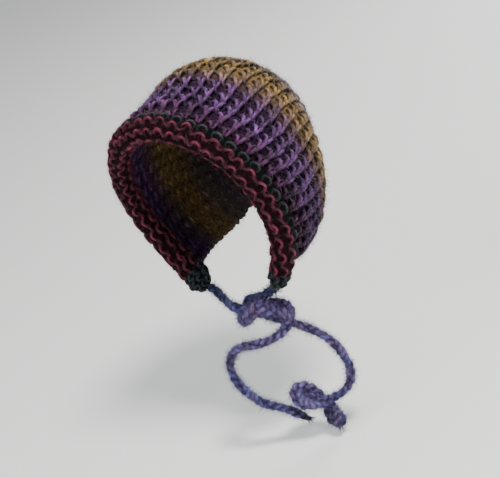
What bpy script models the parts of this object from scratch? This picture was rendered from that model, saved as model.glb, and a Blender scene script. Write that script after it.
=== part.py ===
"""Baby bonnet, hand knitted: a ribbed crown, a rolled brim round the face, and two knitted ties.

Metres, +Z up. The face opening looks along -Y and +X is the wearer's left. The origin is the
highest point inside the crown, where the top of a head meets it.
"""
import bpy
import bmesh
import numpy as np

MM = 0.001

# Driving sizes
CROWN_WIDTH = 120 * MM
CROWN_RISE = 61 * MM
CROWN_DROP = 75 * MM
CROWN_DEPTH = 91 * MM
WALL = 4.0 * MM
RIB_PITCH = 8.7 * MM
RIB_RELIEF = 2.0 * MM
ROLL_WIDTH = 16 * MM
ROLL_HEIGHT = 12 * MM
CORNER_LENGTH = 13 * MM
TIE_DIAMETER = 4.8 * MM
GAP = 0.3 * MM

# Sections of the crown's outer form, from the face opening to the pole at the back of the head.
# share: way along the knitting; back: share of CROWN_DEPTH; level: share of CROWN_RISE; lean: degrees
# that the section leans back; half: share of half the CROWN_WIDTH; rise: share of CROWN_RISE above
# the level; drop: share of CROWN_DROP below it; wrap: degrees from the top round to the neck edge;
# spread: degrees by which the ribs near the top are drawn apart and those at the cheeks together.
SECTION_COLUMNS = ("share", "back", "level", "lean", "half", "rise", "drop", "wrap", "spread")
SECTIONS = (
    (0.00, 0.000, -0.030, -13, 0.785, 0.985, 1.000, 142, 0),
    (0.20, 0.110, 0.075, -12, 0.940, 0.995, 0.890, 143, 1),
    (0.40, 0.300, 0.060, -6, 0.995, 0.995, 0.795, 143, 3),
    (0.60, 0.535, 0.095, 1, 0.945, 1.030, 0.755, 145, 5),
    (0.80, 0.765, 0.155, 10, 0.690, 0.750, 0.575, 156, 4),
    (0.92, 0.930, 0.205, 16, 0.400, 0.400, 0.315, 172, 2),
    (1.00, 1.000, 0.230, 18, 0.000, 0.000, 0.000, 180, 0),
)
CROWN_SHARES = (0.30, 0.35, 0.40, 0.45, 0.50, 0.55, 0.60, 0.66, 0.72, 0.78, 0.84, 0.89, 0.93, 0.965)
SEAM_SHARE = 0.93
POINTS_PER_RIB = 2
RIB_FADE_RADIUS = 24 * MM

# The brim is the same fabric curled into a roll. It turns from the crown's front edge along the face
# side, forward, outward and over, and its free edge lands close above where it started.
ROLL_SHARE = 0.10
ROLL_TURN_START = -158
ROLL_TURN_END = 165
ROLL_STEPS = 11
CORNER_COLUMN_COUNT = 2
# The crown's front edge stands behind the roll, this far out from the middle of the roll's height
EDGE_LEVEL_TOP = 0 * MM
EDGE_LEVEL_NECK = 3 * MM

# Sections of a gathered corner, where the brim narrows into its tie.
# along: share of CORNER_LENGTH; size: share of the roll's section
CORNER_SECTIONS = (
    (0.00, 0.92),
    (0.22, 1.00),
    (0.50, 0.96),
    (0.75, 0.74),
    (1.00, 0.42),
)
CORNER_SIDES = 14

# Routes of the two knitted ties in millimetres, chosen along the cord from its corner to its free end
LEFT_TIE_ROUTE = (
    (13.5, -29.7, -124.8),
    (5.0, -29.2, -127.8),
    (-2.0, -29.7, -129.8),
    (-6.0, -30.7, -134.8),
    (-5.0, -36.2, -137.0),
    (0.5, -40.7, -135.8),
    (6.5, -40.7, -131.8),
    (9.5, -37.2, -128.8),
    (13.0, -32.7, -129.3),
    (17.5, -29.2, -130.8),
    (21.5, -27.2, -133.8),
    (24.0, -28.2, -137.8),
    (23.5, -32.2, -141.8),
    (20.0, -36.7, -145.3),
    (14.5, -41.7, -147.3),
    (7.0, -45.7, -147.8),
    (0.0, -49.7, -146.8),
    (-5.0, -52.2, -148.3),
    (-8.5, -55.2, -153.3),
    (-8.5, -57.2, -160.8),
    (-6.0, -57.2, -168.3),
    (-2.5, -55.7, -175.8),
    (2.0, -53.2, -182.3),
    (7.5, -49.7, -186.8),
    (13.0, -46.7, -191.3),
    (19.5, -43.7, -197.8),
)
RIGHT_TIE_ROUTE = (
    (-17.0, -33.0, -124.5),
    (-11.0, -35.0, -128.5),
    (-4.5, -35.7, -131.3),
    (3.0, -35.7, -132.8),
    (8.5, -34.2, -135.3),
    (13.5, -31.2, -139.8),
    (18.5, -28.2, -143.8),
    (24.5, -26.2, -147.8),
    (32.0, -24.2, -153.3),
    (38.5, -22.7, -160.3),
    (43.0, -22.7, -168.8),
    (45.0, -23.7, -177.3),
    (43.5, -25.7, -184.8),
    (40.0, -29.7, -188.8),
    (34.0, -35.2, -190.3),
    (29.0, -41.0, -190.0),
    (23.6, -45.0, -187.8),
    (18.6, -45.0, -183.4),
    (16.8, -40.4, -181.2),
    (19.0, -35.4, -183.2),
    (23.2, -32.9, -188.0),
    (26.5, -33.2, -194.3),
    (30.5, -34.7, -198.3),
    (34.0, -37.2, -201.3),
    (36.0, -38.2, -204.8),
)
TIE_STEP = 5 * MM
# How far a tie runs straight out of its corner, in tie diameters
TIE_STRAIGHT = 0.8
TIE_BEVEL_STEPS = 2

# How finely curves are sampled, and how close points are joined
RIDGE_SHARES = (0.3, 0.8)
RIDGE_SAMPLES = 201
BRIM_SAMPLES = 81
ROUTE_SAMPLES = 16
SHARE_STEP = 0.001
JOIN_WITHIN = 0.05 * MM
SMOOTH_BELOW = 50

# Colour as linear RGB, then roughness
CROWN_FINISH = ((0.085, 0.045, 0.130), 0.90)
BRIM_FINISH = ((0.110, 0.018, 0.045), 0.90)
CORNER_FINISH = ((0.010, 0.022, 0.032), 0.92)
TIE_FINISH = ((0.060, 0.048, 0.160), 0.88)


def unit(vector):
    return vector / np.linalg.norm(vector)


def read_table(table, at):
    """A smooth curve through a table's rows, read where the first column equals at."""
    rows = np.array(table, float)
    shares = rows[:, 0]
    values = rows[:, 1:]
    k = int(np.clip(np.searchsorted(shares, at) - 1, 0, len(shares) - 2))
    step = shares[k + 1] - shares[k]
    s = (at - shares[k]) / step
    slopes = np.gradient(values, shares, axis=0)
    return ((2 * s**3 - 3 * s**2 + 1) * values[k] + (s**3 - 2 * s**2 + s) * step * slopes[k]
            + (3 * s**2 - 2 * s**3) * values[k + 1] + (s**3 - s**2) * step * slopes[k + 1])


def form_point(share, side):
    """A point of the crown's outer form. side runs from -1 at the right neck edge to 1 at the left."""
    section = dict(zip(SECTION_COLUMNS[1:], read_table(SECTIONS, share)))
    wrap = section["wrap"] if share < SEAM_SHARE else 180.0
    turn = np.radians(wrap * side + section["spread"] * np.sin(2 * np.pi * side))
    if np.cos(turn) > 0:
        upright = np.cos(turn) * section["rise"] * CROWN_RISE
    else:
        upright = np.cos(turn) * section["drop"] * CROWN_DROP
    lean = np.radians(section["lean"])
    return np.array([
        section["half"] * CROWN_WIDTH / 2 * np.sin(turn),
        section["back"] * CROWN_DEPTH + upright * np.sin(lean),
        section["level"] * CROWN_RISE + upright * np.cos(lean),
    ])


def seat_point():
    """The highest point inside the crown, in the section table's own frame."""
    ridge = np.array([form_point(share, 0.0) for share in np.linspace(*RIDGE_SHARES, RIDGE_SAMPLES)])
    top = ridge[ridge[:, 2].argmax()]
    return top - np.array([0, 0, WALL])


SEAT = seat_point()


def form_frame(share, side):
    """Point on the form with its directions along the brim, forward and outward."""
    along = form_point(share, side + SHARE_STEP) - form_point(share, side - SHARE_STEP)
    backward = form_point(share + SHARE_STEP, side) - form_point(share - SHARE_STEP, side)
    tangent = unit(along)
    outward = unit(np.cross(along, backward))
    forward = np.cross(tangent, outward)
    return form_point(share, side) - SEAT, tangent, forward, outward


def brim_length():
    ring = np.array([form_point(ROLL_SHARE, side) for side in np.linspace(-1, 1, BRIM_SAMPLES)])
    return np.linalg.norm(np.diff(ring, axis=0), axis=1).sum()


def section_place(side, forward_by, outward_by):
    """A place given forward of and outward from the roll's centre, on the section plane at one side."""
    origin, tangent, forward, outward = form_frame(ROLL_SHARE, side)
    return origin + forward * forward_by + outward * (outward_by - ROLL_HEIGHT / 2)


def roll_outline():
    """Closed outline of the curled fabric: round its outer face, then back along its inner face."""
    turn = np.radians(np.linspace(ROLL_TURN_START, ROLL_TURN_END, ROLL_STEPS))
    outer = np.stack([np.cos(turn) * ROLL_WIDTH / 2, np.sin(turn) * ROLL_HEIGHT / 2], axis=1)
    inner = np.stack([np.cos(turn) * (ROLL_WIDTH / 2 - WALL), np.sin(turn) * (ROLL_HEIGHT / 2 - WALL)], axis=1)
    return np.vstack([outer, inner[::-1]])


def mesh_object(name, bm, finish, collection):
    bmesh.ops.recalc_face_normals(bm, faces=bm.faces[:])
    mesh = bpy.data.meshes.new(name)
    bm.to_mesh(mesh)
    bm.free()
    mesh.shade_smooth()
    mesh.set_sharp_from_angle(angle=np.radians(SMOOTH_BELOW))
    return place_object(name, mesh, finish, collection)


def place_object(name, data, finish, collection):
    obj = bpy.data.objects.new(name, data)
    colour, roughness = finish
    material = bpy.data.materials.new(name + "_yarn")
    material.use_nodes = True
    shader = material.node_tree.nodes["Principled BSDF"]
    shader.inputs["Base Color"].default_value = (*colour, 1)
    shader.inputs["Roughness"].default_value = roughness
    shader.inputs["Metallic"].default_value = 0
    data.materials.append(material)
    collection.objects.link(obj)
    return obj


def loft(bm, rings, closed_ends):
    """Join rings of equally many points, each ring closed on itself."""
    verts = [[bm.verts.new(point) for point in ring] for ring in rings]
    count = len(rings[0])
    for first, second in zip(verts, verts[1:]):
        for k in range(count):
            bm.faces.new((first[k], first[(k + 1) % count], second[(k + 1) % count], second[k]))
    if closed_ends:
        bm.faces.new(verts[0])
        bm.faces.new(verts[-1])


def rib_sides():
    """Where the crown's columns of points stand, from one neck edge to the other."""
    ribs = 2 * round(brim_length() / RIB_PITCH / 2)
    return np.linspace(-1, 1, ribs * POINTS_PER_RIB + 1)


def edge_row(sides, below):
    """The crown's front edge, behind the roll, at a depth below its outer face."""
    row = []
    for side in sides:
        level = EDGE_LEVEL_TOP + (EDGE_LEVEL_NECK - EDGE_LEVEL_TOP) * side**2
        row.append(section_place(side, -ROLL_WIDTH / 2 - GAP, level - below))
    return row


def crown_row(share, sides, below, valley):
    """One row of the crown at a depth below the form, deeper by valley between the ribs."""
    row = []
    for k, side in enumerate(sides):
        point, tangent, forward, outward = form_frame(share, side)
        sunk = valley if k % POINTS_PER_RIB == 0 else 0.0
        row.append(point - outward * (below + sunk))
    return row


def rib_depth(share):
    """How deep the valleys are, less where the ribs draw together at the pole."""
    radius = np.linalg.norm(form_point(share, 0.5) - form_point(share, -0.5)) / 2
    return RIB_RELIEF * min(1.0, radius / RIB_FADE_RADIUS)


def make_crown(collection):
    """Ribbed outer face and plain inner face, open at the face and the neck, closed at the pole."""
    sides = rib_sides()
    outer = [edge_row(sides, 0)] + [crown_row(share, sides, 0, rib_depth(share)) for share in CROWN_SHARES]
    inner = [edge_row(sides, WALL)] + [crown_row(share, sides, WALL, 0) for share in CROWN_SHARES]
    pole = form_point(1.0, 0.0) - SEAT
    last_ring_middle = np.mean(outer[-1], axis=0)
    inner_pole = pole - unit(pole - last_ring_middle) * WALL
    bm = bmesh.new()
    skins = []
    for rows, tip in ((outer, pole), (inner, inner_pole)):
        grid = [[bm.verts.new(point) for point in row] for row in rows]
        skins.append(grid)
        for first, second in zip(grid, grid[1:]):
            for k in range(len(sides) - 1):
                bm.faces.new((first[k], first[k + 1], second[k + 1], second[k]))
        top = bm.verts.new(tip)
        for k in range(len(sides) - 1):
            bm.faces.new((grid[-1][k], grid[-1][k + 1], top))
    outside, inside = skins
    for k in range(len(sides) - 1):
        bm.faces.new((outside[0][k], outside[0][k + 1], inside[0][k + 1], inside[0][k]))
    for k, share in enumerate(CROWN_SHARES):
        if share > SEAM_SHARE:
            break
        for end in (0, -1):
            bm.faces.new((outside[k][end], outside[k + 1][end], inside[k + 1][end], inside[k][end]))
    bmesh.ops.remove_doubles(bm, verts=bm.verts[:], dist=JOIN_WITHIN)
    return mesh_object("crown", bm, CROWN_FINISH, collection)


def make_brim_roll(collection):
    outline = roll_outline()
    rings = []
    for side in rib_sides()[CORNER_COLUMN_COUNT:-CORNER_COLUMN_COUNT]:
        rings.append([section_place(side, *point) for point in outline])
    bm = bmesh.new()
    loft(bm, rings, closed_ends=True)
    return mesh_object("brim_roll", bm, BRIM_FINISH, collection)


def corner_frame(which, along):
    """Middle of a corner's section and its directions, at a distance past the roll's end."""
    side = which * (rib_sides()[-1 - CORNER_COLUMN_COUNT] + 2 * along / brim_length())
    origin, tangent, forward, outward = form_frame(ROLL_SHARE, side)
    return origin - outward * ROLL_HEIGHT / 2, tangent * which, forward, outward


def make_corner(name, which, collection):
    rings = []
    for share, size in CORNER_SECTIONS:
        middle, tangent, forward, outward = corner_frame(which, GAP + share * CORNER_LENGTH)
        ring = []
        for angle in np.linspace(0, 2 * np.pi, CORNER_SIDES, endpoint=False):
            ring.append(middle + forward * np.cos(angle) * size * ROLL_WIDTH / 2
                        + outward * np.sin(angle) * size * ROLL_HEIGHT / 2)
        rings.append(ring)
    bm = bmesh.new()
    loft(bm, rings, closed_ends=True)
    return mesh_object(name, bm, CORNER_FINISH, collection)


def smooth_route(points, step):
    """Points at even steps along a smooth curve through the route's own points."""
    slopes = np.gradient(points, axis=0)
    fine = []
    for k in range(len(points) - 1):
        for s in np.linspace(0, 1, ROUTE_SAMPLES, endpoint=False):
            fine.append((2 * s**3 - 3 * s**2 + 1) * points[k] + (s**3 - 2 * s**2 + s) * slopes[k]
                        + (3 * s**2 - 2 * s**3) * points[k + 1] + (s**3 - s**2) * slopes[k + 1])
    fine.append(points[-1])
    fine = np.array(fine)
    run = np.concatenate([[0], np.linalg.norm(np.diff(fine, axis=0), axis=1).cumsum()])
    even = np.linspace(0, run[-1], max(2, round(run[-1] / step) + 1))
    return np.stack([np.interp(even, run, fine[:, axis]) for axis in range(3)], axis=1)


def make_tie(name, which, route, collection):
    """One knitted cord, from its corner through the half knot under the chin to its free end."""
    middle, tangent, forward, outward = corner_frame(which, CORNER_LENGTH + 2 * GAP)
    points = np.vstack([middle, middle + tangent * TIE_DIAMETER * TIE_STRAIGHT, np.array(route) * MM])
    curve = bpy.data.curves.new(name, "CURVE")
    curve.dimensions = "3D"
    curve.bevel_depth = TIE_DIAMETER / 2
    curve.bevel_resolution = TIE_BEVEL_STEPS
    curve.use_fill_caps = True
    spline = curve.splines.new("POLY")
    path = smooth_route(points, TIE_STEP)
    spline.points.add(len(path) - 1)
    for target, place in zip(spline.points, path):
        target.co = (*place, 1)
    return place_object(name, curve, TIE_FINISH, collection)


def make_bonnet():
    for obj in list(bpy.data.objects):
        bpy.data.objects.remove(obj, do_unlink=True)
    collection = bpy.data.collections.new("baby_bonnet")
    bpy.context.scene.collection.children.link(collection)
    make_crown(collection)
    make_brim_roll(collection)
    make_corner("corner_left", 1, collection)
    make_corner("corner_right", -1, collection)
    make_tie("tie_left", 1, LEFT_TIE_ROUTE, collection)
    make_tie("tie_right", -1, RIGHT_TIE_ROUTE, collection)


make_bonnet()
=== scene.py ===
"""Looks of the knitted baby bonnet: every stitch as yarn, the two knitted ties, light and camera.

Metres, +Z up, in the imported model's frame. The face opening looks along -Y, +X is the wearer's left.
The crown shows knit stitches, the curled brim shows the same fabric's purl side.
"""

import bpy
import numpy as np
from mathutils import Matrix, Vector


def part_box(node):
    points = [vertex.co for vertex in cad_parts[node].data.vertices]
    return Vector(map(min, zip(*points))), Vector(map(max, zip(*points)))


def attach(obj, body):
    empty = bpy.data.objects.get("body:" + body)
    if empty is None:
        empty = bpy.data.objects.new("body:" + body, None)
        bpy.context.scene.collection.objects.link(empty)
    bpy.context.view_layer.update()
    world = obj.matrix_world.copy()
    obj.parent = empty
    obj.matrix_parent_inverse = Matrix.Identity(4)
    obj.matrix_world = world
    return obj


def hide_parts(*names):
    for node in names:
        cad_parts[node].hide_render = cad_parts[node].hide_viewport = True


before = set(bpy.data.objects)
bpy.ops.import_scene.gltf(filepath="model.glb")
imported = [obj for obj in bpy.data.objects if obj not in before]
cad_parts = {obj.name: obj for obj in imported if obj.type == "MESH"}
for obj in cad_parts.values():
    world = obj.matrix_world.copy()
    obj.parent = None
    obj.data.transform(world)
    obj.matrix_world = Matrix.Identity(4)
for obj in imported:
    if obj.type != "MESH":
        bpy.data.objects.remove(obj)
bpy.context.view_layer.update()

MM = 0.001

# The form's sizes, as in the part's source
CROWN_WIDTH = 120 * MM
CROWN_RISE = 61 * MM
CROWN_DROP = 75 * MM
CROWN_DEPTH = 91 * MM
WALL = 4.0 * MM
ROLL_WIDTH = 16 * MM
ROLL_HEIGHT = 12 * MM
CORNER_LENGTH = 13 * MM
TIE_DIAMETER = 4.8 * MM
TIE_STRAIGHT = 0.8
GAP = 0.3 * MM
RIB_COUNT = 34
ROLL_SHARE = 0.10
ROLL_TURN_START = -158
ROLL_TURN_END = 165
ROLL_END_SIDE = 1 - 2 / RIB_COUNT
SEAM_SHARE = 0.93
SHARE_STEP = 0.001

# share: way along the knitting; back: share of CROWN_DEPTH; level: share of CROWN_RISE; lean: degrees
# that the section leans back; half: share of half the CROWN_WIDTH; rise: share of CROWN_RISE above
# the level; drop: share of CROWN_DROP below it; wrap: degrees from the top round to the neck edge;
# spread: degrees by which the ribs near the top are drawn apart and those at the cheeks together.
SECTIONS = (
    (0.00, 0.000, -0.030, -13, 0.785, 0.985, 1.000, 142, 0),
    (0.20, 0.110, 0.075, -12, 0.940, 0.995, 0.890, 143, 1),
    (0.40, 0.300, 0.060, -6, 0.995, 0.995, 0.795, 143, 3),
    (0.60, 0.535, 0.095, 1, 0.945, 1.030, 0.755, 145, 5),
    (0.80, 0.765, 0.155, 10, 0.690, 0.750, 0.575, 156, 4),
    (0.92, 0.930, 0.205, 16, 0.400, 0.400, 0.315, 172, 2),
    (1.00, 1.000, 0.230, 18, 0.000, 0.000, 0.000, 180, 0),
)

# along: share of CORNER_LENGTH; size: share of the roll's section
CORNER_SECTIONS = ((0.00, 0.92), (0.22, 1.00), (0.50, 0.96), (0.75, 0.74), (1.00, 0.42))

# Routes of the ties in millimetres, from the corner to the free end
LEFT_TIE_ROUTE = (
    (13.5, -29.7, -124.8), (5.0, -29.2, -127.8), (-2.0, -29.7, -129.8), (-6.0, -30.7, -134.8),
    (-5.0, -36.2, -137.0), (0.5, -40.7, -135.8), (6.5, -40.7, -131.8), (9.5, -37.2, -128.8),
    (13.0, -32.7, -129.3), (17.5, -29.2, -130.8), (21.5, -27.2, -133.8), (24.0, -28.2, -137.8),
    (23.5, -32.2, -141.8), (20.0, -36.7, -145.3), (14.5, -41.7, -147.3), (7.0, -45.7, -147.8),
    (0.0, -49.7, -146.8), (-5.0, -52.2, -148.3), (-8.5, -55.2, -153.3), (-8.5, -57.2, -160.8),
    (-6.0, -57.2, -168.3), (-2.5, -55.7, -175.8), (2.0, -53.2, -182.3), (7.5, -49.7, -186.8),
    (13.0, -46.7, -191.3), (19.5, -43.7, -197.8),
)
RIGHT_TIE_ROUTE = (
    (-17.0, -33.0, -124.5), (-11.0, -35.0, -128.5), (-4.5, -35.7, -131.3), (3.0, -35.7, -132.8),
    (8.5, -34.2, -135.3), (13.5, -31.2, -139.8), (18.5, -28.2, -143.8), (24.5, -26.2, -147.8),
    (32.0, -24.2, -153.3), (38.5, -22.7, -160.3), (43.0, -22.7, -168.8), (45.0, -23.7, -177.3),
    (43.5, -25.7, -184.8), (40.0, -29.7, -188.8), (34.0, -35.2, -190.3), (29.0, -41.0, -190.0),
    (23.6, -45.0, -187.8), (18.6, -45.0, -183.4), (16.8, -40.4, -181.2), (19.0, -35.4, -183.2),
    (23.2, -32.9, -188.0), (26.5, -33.2, -194.3), (30.5, -34.7, -198.3), (34.0, -37.2, -201.3),
    (36.0, -38.2, -204.8),
)

# The knitting
ROW_HEIGHT = 6.4 * MM
YARN_RADIUS = 0.95 * MM
CROWN_YARN_RADIUS = 1.08 * MM
YARN_SIDES = 6
LOOP_SAMPLES = 20
STITCH_DEPTH = 1.15 * MM
PLY_PITCH = 5.5 * MM
PLIES = 2

# The crown's rows, and the side of the form along which their height is measured
CROWN_FIRST_SHARE = 0.225
CROWN_LAST_SHARE = 0.985
POLE_SHARE = 0.995
ROW_LINE_SIDE = 0.35
# Way along the form, and how many columns are left there
NARROWING = ((0.80, RIB_COUNT), (0.84, 30), (0.90, 20), (0.95, 12), (0.985, 7))
# Where columns are narrower than this, their yarn is drawn as thin as this share
FULL_COLUMN_WIDTH = 7.5 * MM
THINNEST_YARN = 0.55
# Up to this share the crown runs in under the roll, less deep at the cheeks
TUCK_SHARE = 0.32
TUCK_EASE = 3 * MM
TUCK_POWER = 1.4
# Each stitch's shift across, along and out; how uneven the tone is along a row and between stitches
CROWN_JITTER = (0.05, 0.07, 0.18)
CROWN_TONES = (0.16, 0.28)
CROWN_DYE_WANDER = 0.5
CROWN_GIRTH_WANDER = 0.18
# The neck's edging crosses itself this often a row; the yarn gathered on the pole
EDGING_CROSSINGS = 1.5
EDGING_WIDTH = 0.012
EDGING_RISE = 0.8 * MM
POLE_TURNS = 3
POLE_GATHER = (0.978, 0.997)
# Depths of the matted sheets' two faces, and how the crown's follows the ribs and the gold stripe
CROWN_BACKING = (2.5 * MM, 3.3 * MM)
BRIM_BACKING = (0.9 * MM, 2.9 * MM)
CORNER_BACKING = (1.6 * MM, 2.2 * MM)
RIB_VALLEY = 0.5 * MM
GOLD_RAISE = 0.7 * MM

# The brim's courses: where they start and end in units of a course, and how far they stand out
ROLL_ROW_COUNT = 6
COURSE_START = 0.25
COURSE_REACH = 0.93
COURSE_SPARE = 0.6
PURL_RELIEF = 0.8
BRIM_SINK = 1.1
BRIM_HIGHEST = 0.95
BRIM_GIRTH = 0.92
BRIM_JITTER = (0.06, 0.08, 0.15)
BRIM_TONES = (0.20, 0.22)
BRIM_GIRTH_WANDER = 0.14
# The last course is lower and wider, and has its own dye from this far along each stitch
LAST_COURSE_STRETCH = (1.25, 0.85, 1)
LAST_COURSE_RELIEF = 0.45
LAST_COURSE_DYE_START = 0.1

# The corners' stitches
CORNER_COLUMNS = 3
CORNER_ROWS = 9
CORNER_JITTER = 0.06
CORNER_OVERLAP = 0.12
CORNER_SINK = 1.3
CORNER_THINNEST = 0.6
CORNER_TONE = 0.3

# One stitch of the crown seen from the knit side. The leg on the wearer's left runs on along the
# column as one line, the other leg leans away from it and hooks in behind the next row.
# across: share of a column; along: share of a row; out: share of STITCH_DEPTH
KNIT_LOOP = (
    (-0.50, -0.14, -1.15), (-0.24, -0.18, -0.90), (-0.05, -0.04, 0.20), (-0.13, 0.20, 1.00),
    (-0.25, 0.46, 1.25), (-0.40, 0.67, 1.10), (-0.56, 0.74, 0.40), (-0.62, 0.88, -0.85),
    (-0.38, 1.08, -1.20), (-0.10, 1.18, -1.05), (-0.02, 1.06, 0.10), (-0.01, 0.78, 1.00),
    (0.01, 0.44, 1.20), (0.02, 0.10, 1.00), (0.07, -0.12, 0.05), (0.26, -0.18, -0.95),
)
# One stitch of the brim seen from the purl side: two arcs of yarn, one turned
# back, one turned forward. PURL_SIDE is the rising half, which is mirrored.
PURL_SIDE = (
    (-0.34, -0.12, 0.35),
    (-0.21, 0.16, -0.45),
    (-0.24, 0.52, -1.00),
    (-0.34, 0.86, -0.25),
    (-0.25, 1.18, 0.85),
)
PURL_LOOP = (
    (-0.50, -0.24, 0.55),
    *PURL_SIDE,
    (0.00, 1.34, 1.20),
    *((-across, along, out) for across, along, out in PURL_SIDE[::-1]),
)

# Where the yarn of a stitch counts as deepest, and how much further out as highest; its lift paints shade
# in the depths and highlight on the crests
KNIT_LIFT = (-1.1, 2.3)
PURL_LIFT = (-0.9, 2.0)
# Below this out, the back of a knit stitch's yarn is seen from inside the crown, and gets painted light
# on its inner flank
SUNK_START = -0.2
SUNK_SPAN = 0.8
SUNK_MOST = 0.75

# Small amounts that keep a direction from having no length
SMALLEST = 1e-12
NUDGE = 1e-6
PLACE_NUDGE = 1e-7

# Dye of the self-striping yarn along the crown, as linear RGB
CROWN_STRIPES = (
    (0.00, (0.074, 0.018, 0.054)),
    (0.06, (0.070, 0.020, 0.076)),
    (0.12, (0.086, 0.028, 0.124)),
    (0.22, (0.086, 0.031, 0.116)),
    (0.28, (0.120, 0.056, 0.090)),
    (0.335, (0.175, 0.105, 0.062)),
    (0.38, (0.225, 0.138, 0.040)),
    (0.48, (0.215, 0.130, 0.040)),
    (0.55, (0.130, 0.085, 0.056)),
    (0.62, (0.078, 0.056, 0.062)),
    (1.00, (0.058, 0.046, 0.058)),
)
# Way along the crown, and how light the matted sheet between the stitches is beside the dye: painted
# shade in the gaps, lighter where the gold stripe is matted full
CROWN_FELT_AND_SHADE = ((0.00, 0.30), (0.26, 0.30), (0.36, 0.75), (0.52, 0.75), (0.64, 0.25), (1.00, 0.20))
# Way along the crown, and how much of the yarn is the gold stripe, whose lift is cut for less painted
# highlight on its crests
GOLD_PART = ((0.28, 0), (0.37, 1), (0.50, 1), (0.58, 0))
GOLD_HIGHLIGHT_CUT = 0.09
# From this share of the way round to the neck edge on, the crown is painted darker with shade, by up to
# this share
CHEEK_START = 0.45
CHEEK_SHADE = 0.60
# Dye of the brim's courses, from the one inside the curl to the one against the crown
BRIM_COURSES = (
    (0.080, 0.008, 0.022),
    (0.085, 0.008, 0.022),
    (0.090, 0.009, 0.025),
    (0.095, 0.010, 0.028),
    (0.085, 0.010, 0.028),
    (0.012, 0.024, 0.030),
)
CORNER_DYE = (0.007, 0.016, 0.021)
# How light the matted sheets are beside the dye: painted shade inside the crown and in the gaps between
# the brim's and the corners' stitches
CROWN_INSIDE_SHADE = 0.40
BRIM_GAP_SHADE = 0.10
CORNER_GAP_SHADE = 0.4
TIE_STRIPES = (
    (0.00, (0.022, 0.034, 0.080)),
    (0.12, (0.050, 0.048, 0.150)),
    (0.30, (0.115, 0.078, 0.195)),
    (0.55, (0.090, 0.070, 0.195)),
    (1.00, (0.070, 0.058, 0.165)),
)
# Where a tie is knotted on itself: the share of its length, how far that reaches, how much it swells
TIE_KNOTS = {
    "tie_left": (0.22, 0.12, 0.28),
    "tie_right": (0.80, 0.09, 0.38),
}
# The turn that fills each knot: from and to which share of the tie, its bow in millimetres, its girth
KNOT_TURNS = {
    "tie_left": (0.33, 0.455, (1.2, 0.2, 0.6), 1.3),
    "tie_right": (0.775, 0.893, (0.0, 0.0, 0.0), 1.0),
}
# The plait of a tie
ROUTE_STEP = 0.6 * MM
FRAME_START = (0.3, 0.2, 1.0)
PLAIT_LENGTH = 11 * MM
SPIN_LENGTH = 38 * MM
STRAND_RADIUS = 1.35 * MM
STRAND_SWAY = 1.40 * MM
STRAND_RISE = 1.00 * MM
SWELL_WANDER = 0.10
GIRTH_WANDER = 0.12
STRAND_TONE = 0.38
HUE_SWING = (0.25, 0.0, -0.12)
# A strand gets its full painted light this far from the plait's middle line, and painted shade nearer in,
# down to this lift
FULL_LIGHT_DISTANCE = 1.5 * MM
LOWEST_LIFT = 0.2
# The knotted tie's blunt end, and the bare tie's tapered one
CAST_OFF_LENGTH = 13 * MM
CAST_OFF_SPREAD = 2.6 * MM
CAST_OFF_GIRTH = 1.15
CAST_OFF_SHADE = 0.8
FRAY_LENGTH = 7 * MM
FRAY_TAPER = 0.40
# Cut fibres at the ends, their radii at root and tip
FRAY_COUNTS = {"bare": 22, "knot": 8}
FRAY_SPREAD = 0.6 * MM
FRAY_REACH = (2.0 * MM, 4.5 * MM)
FRAY_BEND = 0.8 * MM
FRAY_RADII = (0.32 * MM, 0.10 * MM)
FRAY_SHADE = 1.5

# Loose fibres: how many, how long, how wide, and their seed, to which the side is added
FIBRES = {
    "crown": (48000, 3.2 * MM, 0.10 * MM, 21),
    "brim": (16000, 2.4 * MM, 0.09 * MM, 22),
    "corner": (1200, 2.4 * MM, 0.07 * MM, 30),
    "tie": (18000, 3.2 * MM, 0.09 * MM, 40),
    "tip": (3500, 3.2 * MM, 0.09 * MM, 50),
}
# A fibre's middle and tip: how far outward, how far aside, share of its reach; and their widths
FIBRE_MIDDLE = (0.8, 0.45, 0.5)
FIBRE_TIP = (0.9, 0.95, 0.8)
FIBRE_MIDDLE_WIDTH = 0.8
FIBRE_TIP_WIDTH = 0.3
SHORTEST_FIBRE = 0.35
# Chance of a fibre where the yarn lies deepest, to which the lift is added
DEEP_FIBRES = 0.15

# Wool: the lifts over which its painted shade gives way and its painted highlight comes up, its mottling,
# the painted shade in its ply grooves, and the streaks of its painted highlight
SHADE_LIFTS = (0.30, 1.00)
HIGHLIGHT_LIFTS = (0.895, 1.0)
MOTTLE_GAIN = 2.6
MOTTLE_BASE = -0.30
PLY_GROOVE_SHADE = 0.5
STREAK_NOISE = (0.47, 0.62)
HIGHLIGHT_MIX = 0.45
# Wool by name: painted shade of its depths, colour and strength of its painted highlight, sheen
WOOLS = {
    "wool": (0.20, (0.62, 0.49, 0.68), 0.95, 0.05),
    "brim_wool": (0.10, (0.50, 0.15, 0.24), 0.95, 0.02),
    "dark_wool": (0.10, (0.14, 0.20, 0.24), 0.50, 0.06),
    "tie_wool": (0.12, (0.46, 0.42, 0.70), 0.60, 0.15),
}
# Loose fibres by name: colour and strength of their painted highlight
FUZZES = {
    "fuzz": ((0.55, 0.44, 0.55), 0.42),
    "brim_fuzz": ((0.48, 0.08, 0.15), 0.40),
    "tie_fuzz": ((0.40, 0.36, 0.62), 0.30),
}
# Sockets of a colour Mix node: factor, first and second colour, result
MIX_INPUTS = (0, 6, 7)
MIX_OUTPUT = 2

# Seeds, to which a row's or strand's number is added
CROWN_TONE_SEED = 100
CROWN_DYE_SEED = 300
CROWN_GIRTH_SEED = 500
BRIM_TONE_SEED = 800
BRIM_GIRTH_SEED = 900
CORNER_TONE_SEED = 1000
STRAND_TONE_SEED = 1200
STRAND_HUE_SEED = 1220
SWELL_SEED = 1250
GIRTH_SEED = 1300
CAST_OFF_SEED = 3
KNOT_SEED = 7
FRAY_SEED = 61

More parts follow.
